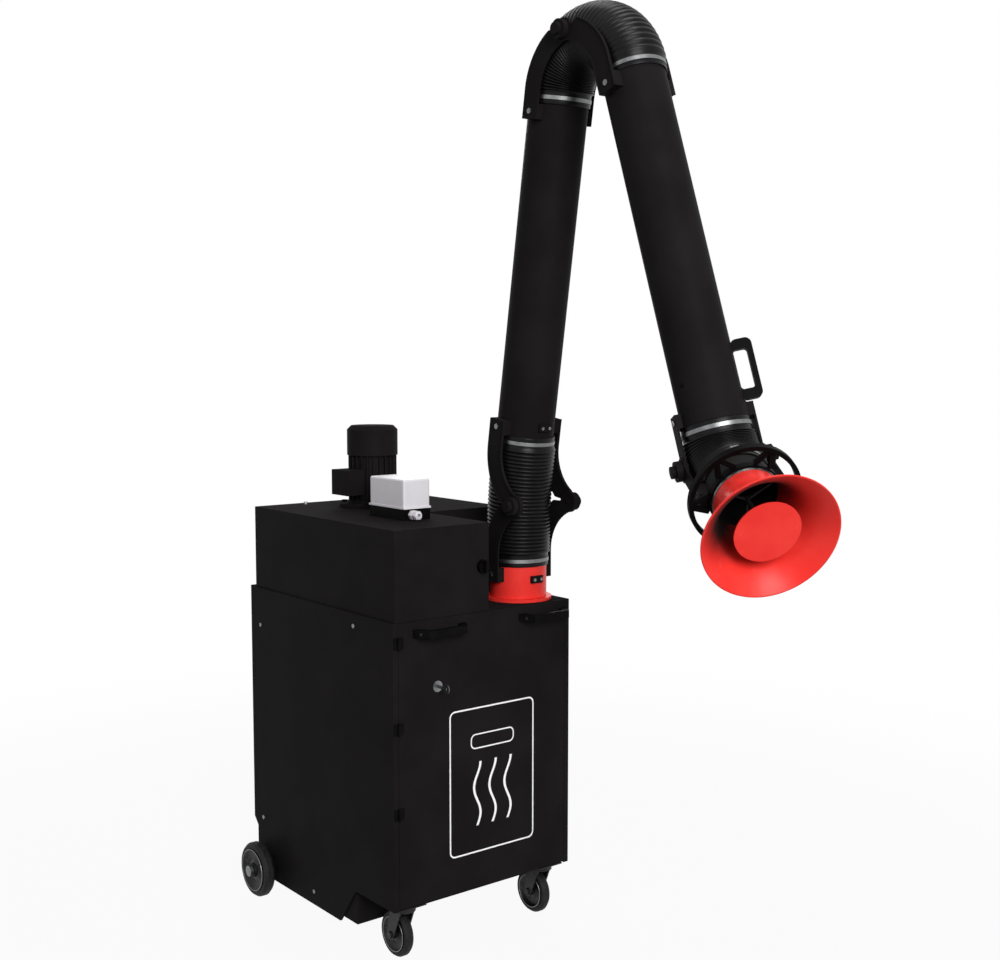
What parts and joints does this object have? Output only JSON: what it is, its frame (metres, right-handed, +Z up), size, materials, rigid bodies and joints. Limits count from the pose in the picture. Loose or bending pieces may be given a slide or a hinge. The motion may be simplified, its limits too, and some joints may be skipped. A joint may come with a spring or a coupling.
{
  "type": "mobile welding fume extractor",
  "caption": "Wheeled filter cabinet with a hinged, hose-jointed extraction arm that carries a trumpet hood on a swivelling, tilting wrist and draws in welding fume.",
  "frame": {"origin": "on the floor under the centre of the cabinet, half way between its front face and the rear cover", "axes": "+Z up, the door and the arm face -Y, +X to the right when looking at the door"},
  "size_m": [0.734, 1.7949, 2.5113],
  "materials": {
    "black_coat": "fine textured powder coat",
    "black_plastic": "satin",
    "red_coat": "satin powder coat",
    "steel": "bright",
    "galvanised": "matt zinc",
    "hose_rubber": "matt",
    "seal_rubber": "matt",
    "tyre_rubber": "matt",
    "light_grey": "smooth",
    "filter_paper": "pleated",
    "fan_metal": "cast"
  },
  "bodies": {
    "cabinet": {"base_frame": "black_coat", "cabinet_shell": "black_coat", "side_covers": "black_coat", "rear_cover": "black_coat", "cover_screws": "steel", "deck_plate": "black_coat", "upper_housing": "black_coat", "exhaust_grille": "black_coat", "filter_media": "filter_paper", "filter_caps": "galvanised", "dust_bin": "galvanised", "hinge_posts": "black_plastic", "inlet_ring": "galvanised", "motor_body": "black_coat", "motor_cowl": "black_coat", "terminal_box": "black_coat", "control_box_base": "black_plastic", "control_box_cover": "light_grey", "cable_gland": "light_grey", "swivel_base": "red_coat", "rear_stubs": "steel", "caster_mounts": "galvanised"},
    "door": {"door": "black_coat", "door_seal": "seal_rubber", "hinge_door_leaves": "black_plastic", "door_handles": "black_plastic", "lock_body": "steel"},
    "lock": {"key": "steel", "lock_cam": "steel"},
    "switch": {"front_knob": "black_plastic"},
    "rotor": {"impeller": "fan_metal", "motor_shaft": "steel", "cooling_fan": "fan_metal"},
    "arm_collar": {"swivel_collar": "red_coat", "collar_plates": "black_coat", "shoulder_fasteners": "steel", "shoulder_hose": "hose_rubber"},
    "lower_arm": {"lower_tube": "black_coat", "lower_tube_plates": "black_coat", "elbow_fasteners": "steel", "elbow_hose": "hose_rubber"},
    "outer_arm": {"outer_tube": "black_coat", "outer_tube_plates": "black_coat", "outer_tube_fasteners": "steel", "arm_handle": "black_plastic"},
    "wrist": {"wrist_sleeve": "black_coat", "wrist_fork": "black_coat", "wrist_fasteners": "steel", "wrist_hose": "hose_rubber"},
    "hood": {"hood_flare": "red_coat", "hood_fork": "black_coat", "hood_clamp": "steel", "grip_ring": "black_plastic", "hood_disc": "red_coat"},
    "left_caster": {"left_caster_fork": "galvanised"},
    "right_caster": {"right_caster_fork": "galvanised"},
    "left_caster_roller": {"left_caster_wheel": "tyre_rubber"},
    "right_caster_roller": {"right_caster_wheel": "tyre_rubber"},
    "left_rear_roller": {"left_rear_wheel": "tyre_rubber"},
    "right_rear_roller": {"right_rear_wheel": "tyre_rubber"}
  },
  "joints": [
    {"name": "door_hinge", "type": "hinge", "parent": "cabinet", "child": "door", "pos_m": [-0.284, -0.3915, 0.6], "axis": [0, 0, -1], "range_deg": [0, 110]},
    {"name": "key_turn", "type": "hinge", "parent": "door", "child": "lock", "pos_m": [-0.161, -0.386, 0.741], "axis": [0, -1, 0], "range_deg": [0, 90]},
    {"name": "switch_turn", "type": "hinge", "parent": "cabinet", "child": "switch", "pos_m": [-0.011, -0.386, 1.046], "axis": [0, -1, 0], "range_deg": [0, 90]},
    {"name": "fan_spin", "type": "hinge", "parent": "cabinet", "child": "rotor", "pos_m": [-0.01, 0.14904, 1.163], "axis": [0, 0, 1], "continuous": true},
    {"name": "arm_swivel", "type": "hinge", "parent": "cabinet", "child": "arm_collar", "pos_m": [0.2, -0.281, 0.923], "axis": [0, 0, 1], "continuous": true},
    {"name": "shoulder", "type": "hinge", "parent": "arm_collar", "child": "lower_arm", "pos_m": [0.2, -0.386, 1.2], "axis": [1, 0, 0], "range_deg": [-8, 60], "deforming": ["shoulder_hose"]},
    {"name": "elbow", "type": "hinge", "parent": "lower_arm", "child": "outer_arm", "pos_m": [0.2, -0.58076, 2.42967], "axis": [-1, 0, 0], "range_deg": [-8, 120], "deforming": ["elbow_hose"]},
    {"name": "wrist_swivel", "type": "hinge", "parent": "outer_arm", "child": "wrist", "pos_m": [0.2, -1.05378, 1.35333], "axis": [0, 0.319, 0.9478], "range_deg": [-120, 120]},
    {"name": "hood_tilt", "type": "hinge", "parent": "wrist", "child": "hood", "pos_m": [0.2, -1.05378, 1.35333], "axis": [0.8387, -0.5162, 0.1737], "range_deg": [-15, 90], "deforming": ["wrist_hose"]},
    {"name": "left_caster_swivel", "type": "hinge", "parent": "cabinet", "child": "left_caster", "pos_m": [-0.238, -0.339, 0.14], "axis": [0, 0, 1], "continuous": true},
    {"name": "left_caster_roll", "type": "hinge", "parent": "left_caster", "child": "left_caster_roller", "pos_m": [-0.238, -0.306, 0.0625], "axis": [1, 0, 0], "continuous": true},
    {"name": "left_rear_roll", "type": "hinge", "parent": "cabinet", "child": "left_rear_roller", "pos_m": [-0.335, 0.294, 0.08], "axis": [1, 0, 0], "continuous": true},
    {"name": "right_caster_swivel", "type": "hinge", "parent": "cabinet", "child": "right_caster", "pos_m": [0.238, -0.339, 0.14], "axis": [0, 0, 1], "continuous": true},
    {"name": "right_caster_roll", "type": "hinge", "parent": "right_caster", "child": "right_caster_roller", "pos_m": [0.238, -0.306, 0.0625], "axis": [1, 0, 0], "continuous": true},
    {"name": "right_rear_roll", "type": "hinge", "parent": "cabinet", "child": "right_rear_roller", "pos_m": [0.335, 0.294, 0.08], "axis": [1, 0, 0], "continuous": true}
  ]
}
